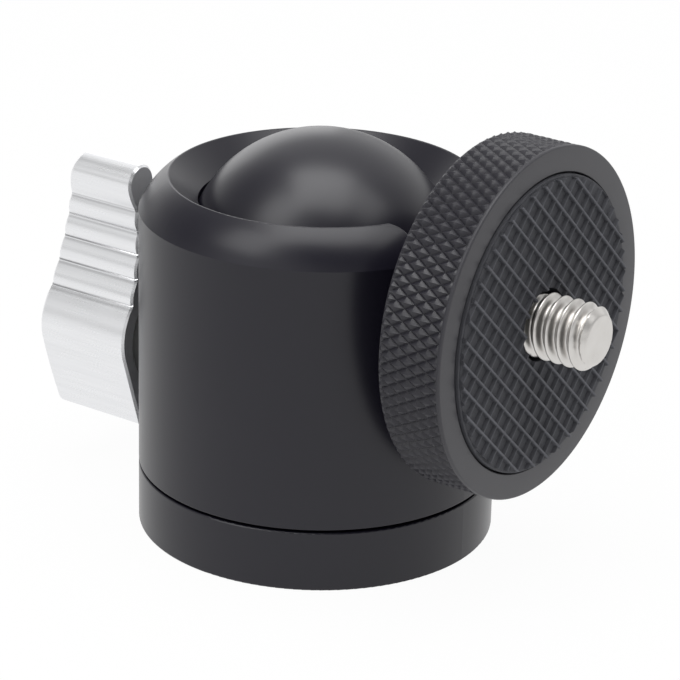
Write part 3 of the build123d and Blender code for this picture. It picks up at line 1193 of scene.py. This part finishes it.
# %% Lever outline
lever_low, lever_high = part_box("clamp_lever")
lever_inner = -lever_high.x
lever_outer = -lever_low.x
arm_lean = radians(15)
arm_axis = clamp_axis @ Matrix.Rotation(-arm_lean, 4, "Z")
lever_break = 0.22 * MM
tip_centre = 17.3 * MM
tip_r = 1.85 * MM
waist_at = 16.2 * MM
waist_half = 1.65 * MM
flank_r = 16.5 * MM
first_groove = 14.9 * MM
rib_pitch = 2.35 * MM
rib_count = 4
groove_depth = 0.3 * MM
bead_half = 0.15 * MM
bead_rise = 0.06 * MM
bead_steps = 3
crest_steps = 12
shoulder = (3.6 * MM, 6.6 * MM)
hub = (0.8 * MM, 7.33 * MM)
heel = (-7.3 * MM, 6.94 * MM)
heel_round = 0.55 * MM


def flank(place):
    """Half of the arm's width across the tops of its ribs."""
    return waist_half + (waist_at - place) ** 2 / (2 * flank_r)


def arc_through(first, middle, last, steps):
    """Points of the arc of a circle through three points."""
    start, via, end = Vector(first), Vector(middle), Vector(last)
    sums = Vector((via.dot(via) - start.dot(start), end.dot(end) - via.dot(via))) / 2
    centre = Matrix((via - start, end - via)).inverted() @ sums
    radius = (start - centre).length
    angles = [atan2(*reversed(point - centre)) for point in (start, end)]
    turns = [angles[0] + (angles[1] - angles[0]) * step / steps for step in range(steps + 1)]
    return [(centre.x + radius * cos(turn), centre.y + radius * sin(turn)) for turn in turns]


def bead_point(groove, step, towards_tip):
    """A point of the bead in a groove, some steps from its crest to one side of it."""
    rise = bead_rise * (1 - (step / bead_steps) ** 2)
    place = groove + towards_tip * bead_half * step / bead_steps
    return (place, flank(groove) - groove_depth + rise)


def rib_side(groove):
    """From one groove's bead, over the bead's foot and the rib, to the next groove's bead."""
    points = [bead_point(groove, step, -1) for step in range(bead_steps)]
    length = rib_pitch - 2 * bead_half
    for step in range(crest_steps + 1):
        share = step / crest_steps
        place = groove - bead_half - length * share
        points.append((place, flank(place) - groove_depth * (2 * share - 1) ** 2))
    next_groove = groove - rib_pitch
    return points + [bead_point(next_groove, step, 1) for step in reversed(range(1, bead_steps))]


print("a rib has", len(rib_side(first_groove)), "points a side")

# %% Lever side
tip_turn = 0.13
throat_steps = 8
shoulder_steps = 14
hub_steps = 4
heel_turn = 0.2


def lever_side():
    """One side of the lever from its tip to its heel, as (along the arm, half width) pairs."""
    side = []
    for turn in steps_between(0, quarter_turn, tip_turn):
        side.append((tip_centre + tip_r * cos(turn), tip_r * sin(turn)))
    throat = tip_centre - first_groove
    drop = tip_r - (flank(first_groove) - groove_depth)
    for step in range(1, throat_steps):
        share = step / throat_steps
        side.append((tip_centre - throat * share, tip_r - drop * share**2))
    for rib in range(rib_count):
        side += rib_side(first_groove - rib * rib_pitch)
    last_groove = first_groove - rib_count * rib_pitch
    last_foot = (last_groove, flank(last_groove) - groove_depth)
    side += arc_through(last_foot, shoulder, hub, shoulder_steps)
    hub_length = heel[0] + heel_round - hub[0]
    for step in range(1, hub_steps):
        share = step / hub_steps
        side.append((hub[0] + hub_length * share, hub[1] + (heel[1] - hub[1]) * share))
    for turn in steps_between(0, quarter_turn, heel_turn):
        side.append((heel[0] + heel_round * (1 - sin(turn)), heel[1]))
    return side


print("lever outline has", len(lever_side()), "points a side")

# %% Lever slice
crown_r = 60 * MM
crown_at = -2.4 * MM


def lever_back(place):
    """How far out the crowned back lies: it turns down into the heel over a round."""
    crown = lever_outer - (place - crown_at) ** 2 / (2 * crown_r)
    into_round = max(0, heel[0] + heel_round - place)
    return crown - heel_round + max(0, heel_round**2 - into_round**2) ** 0.5


def lever_slice():
    """The outline at four depths, closed by strips across the inner face and the back."""
    side = lever_side()
    count = len(side)
    loop = side + [(place, -half) for place, half in reversed(side[1:])]
    inset = []
    for place, half in loop:
        if place > tip_centre:
            shrink = 1 - lever_break / tip_r
            inset.append((tip_centre + (place - tip_centre) * shrink, half * shrink))
        else:
            inset.append((place, half - lever_break if half > 0 else half + lever_break))
    rows = [[(place, half, lever_inner) for place, half in inset]]
    rows.append([(place, half, lever_inner + lever_break) for place, half in loop])
    rows.append([(place, half, lever_back(place) - lever_break) for place, half in loop])
    rows.append([(place, half, lever_back(place)) for place, half in inset])
    points = [arm_axis @ Vector(point) for row in rows for point in row]
    around = len(loop)
    faces = grid_faces(len(rows), around, [0] * len(points), False, True)
    for row in (0, len(rows) - 1):
        start = row * around
        faces.append((start, start + 1, start + around - 1))
        for index in range(1, count - 1):
            other = around - index
            faces.append((start + index, start + index + 1, start + other - 1, start + other))
    return mesh_from("slice", shape_from(points, faces))


slice_mesh = lever_slice()
print("lever slice has", len(slice_mesh.polygons), "faces")

# %% Screw holes
bore_gap = 0.1 * MM
bore_over = 1 * MM
bore_rings = [
    ring_at(clamp_r + bore_gap / 2, lever_inner - bore_over),
    ring_at(clamp_r + bore_gap / 2, -clamp_low.x),
    ring_at(small_shank_r + bore_gap, -clamp_low.x),
    ring_at(small_shank_r + bore_gap, head_seat),
    ring_at(head_r + bore_gap, head_seat),
    ring_at(head_r + bore_gap, lever_outer + bore_over),
]
bore_mesh = turned_mesh("bore", bore_rings, screw_columns, clamp_axis, False)
lever_mesh = combined("ribbed_lever", slice_mesh, ("DIFFERENCE", bore_mesh))
print("bored lever has", len(lever_mesh.polygons), "faces")

# %% [markdown]
# ## Satin silver
#
# A drawn bar is smoother along its length, so its grain runs parallel to the clamp screw, over the
# ribs. Noise that is squeezed along that direction gives the streaks. The two ends of the slice are
# sawn and blasted, which leaves them rougher: they are told apart by their normals. Soft bands of
# darker and paler silver are painted reflections, the grooves are painted darker as painted shade,
# and the edges are painted paler as painted highlights.

# %% Silver finish
streak_width = 0.07 * MM
streak_depth = 0.0015 * MM
reflection_band_width = 0.6 * MM
silver_clouds = 4 * MM
highlight_reach = 0.12 * MM
# Silvers of the painted reflections, then the painted groove shade and painted edge highlight.
silver_dark_reflection = (0.77, 0.775, 0.79, 1)
silver_light_reflection = (0.87, 0.875, 0.89, 1)
painted_shade_grey = (0.36, 0.36, 0.37, 1)
painted_edge_highlight = (0.93, 0.93, 0.94, 1)
drawn_rough = 0.2
streak_rough = 0.12
patch_rough = 0.06
sawn_rough = 0.36


def on_grooves(finish, place):
    """1 beside the bead of each groove between the ribs, and 0 on the rest of the lever."""
    arm = (0, -sin(arm_lean), cos(arm_lean))
    along_arm = finish.along(place, arm)
    ribs = (along_arm - screw_z * cos(arm_lean) - first_groove) * (1 / rib_pitch)
    to_groove = ribs.math("PINGPONG", ribs, 0.5)
    # A ramp reads from 0 to 1, so the ribs, from 0 down to -rib_count, are put on its middle half.
    middle = ribs * (0.5 / rib_count) + 0.75
    ribbed = finish.ramp(middle, (0.21, 0), (0.23, 1), (0.77, 1), (0.79, 0))
    return finish.ramp(to_groove, (0.0, 0.25), (0.05, 1), (0.08, 1), (0.14, 0)) * ribbed


def drawn_silver(name):
    """Streaked satin silver with sawn ends, painted groove shade, reflections and edge highlights.
    """
    finish = Finish(name)
    place = finish.place()
    streaks = finish.noise(finish.stretch(place, (0.02, 1, 1)), streak_width)
    painted_reflection_bands = finish.noise(finish.stretch(place, (0.04, 1, 1)), reflection_band_width)
    clouds = finish.noise(place, silver_clouds)
    edge = finish.edges(highlight_reach)
    normal = finish.node("ShaderNodeTexCoord", {}, {}, "Normal")
    facing = finish.along(normal, along_neck)
    sawn = finish.ramp(facing.math("ABSOLUTE", facing, 0.0), (0.9, 0), (0.97, 1))
    groove = on_grooves(finish, place)
    # The silver changes in bands along the bar: painted reflections.
    colour = finish.mix(silver_dark_reflection, silver_light_reflection, painted_reflection_bands)
    # The grooves are painted darker: painted shade.
    colour = finish.mix(colour, painted_shade_grey, groove * (1 - sawn) * 0.5)
    # The edges are painted paler: painted highlights.
    colour = finish.mix(colour, painted_edge_highlight, edge * 0.6)
    rough = streaks * streak_rough + clouds * patch_rough + sawn * sawn_rough + drawn_rough
    bumped = finish.bump(streaks, streak_depth)
    return finish.surface(
        {"Base Color": colour, "Metallic": 1.0, "Roughness": rough, "Normal": bumped}
    )


lever_sharp = 28
silver = drawn_silver("satin_silver")
add_piece(lever_mesh, silver, "lever", "clamp_lever", lever_sharp)

# %% [markdown] ## The size Finishes and fine shapes must not make the head larger or smaller.
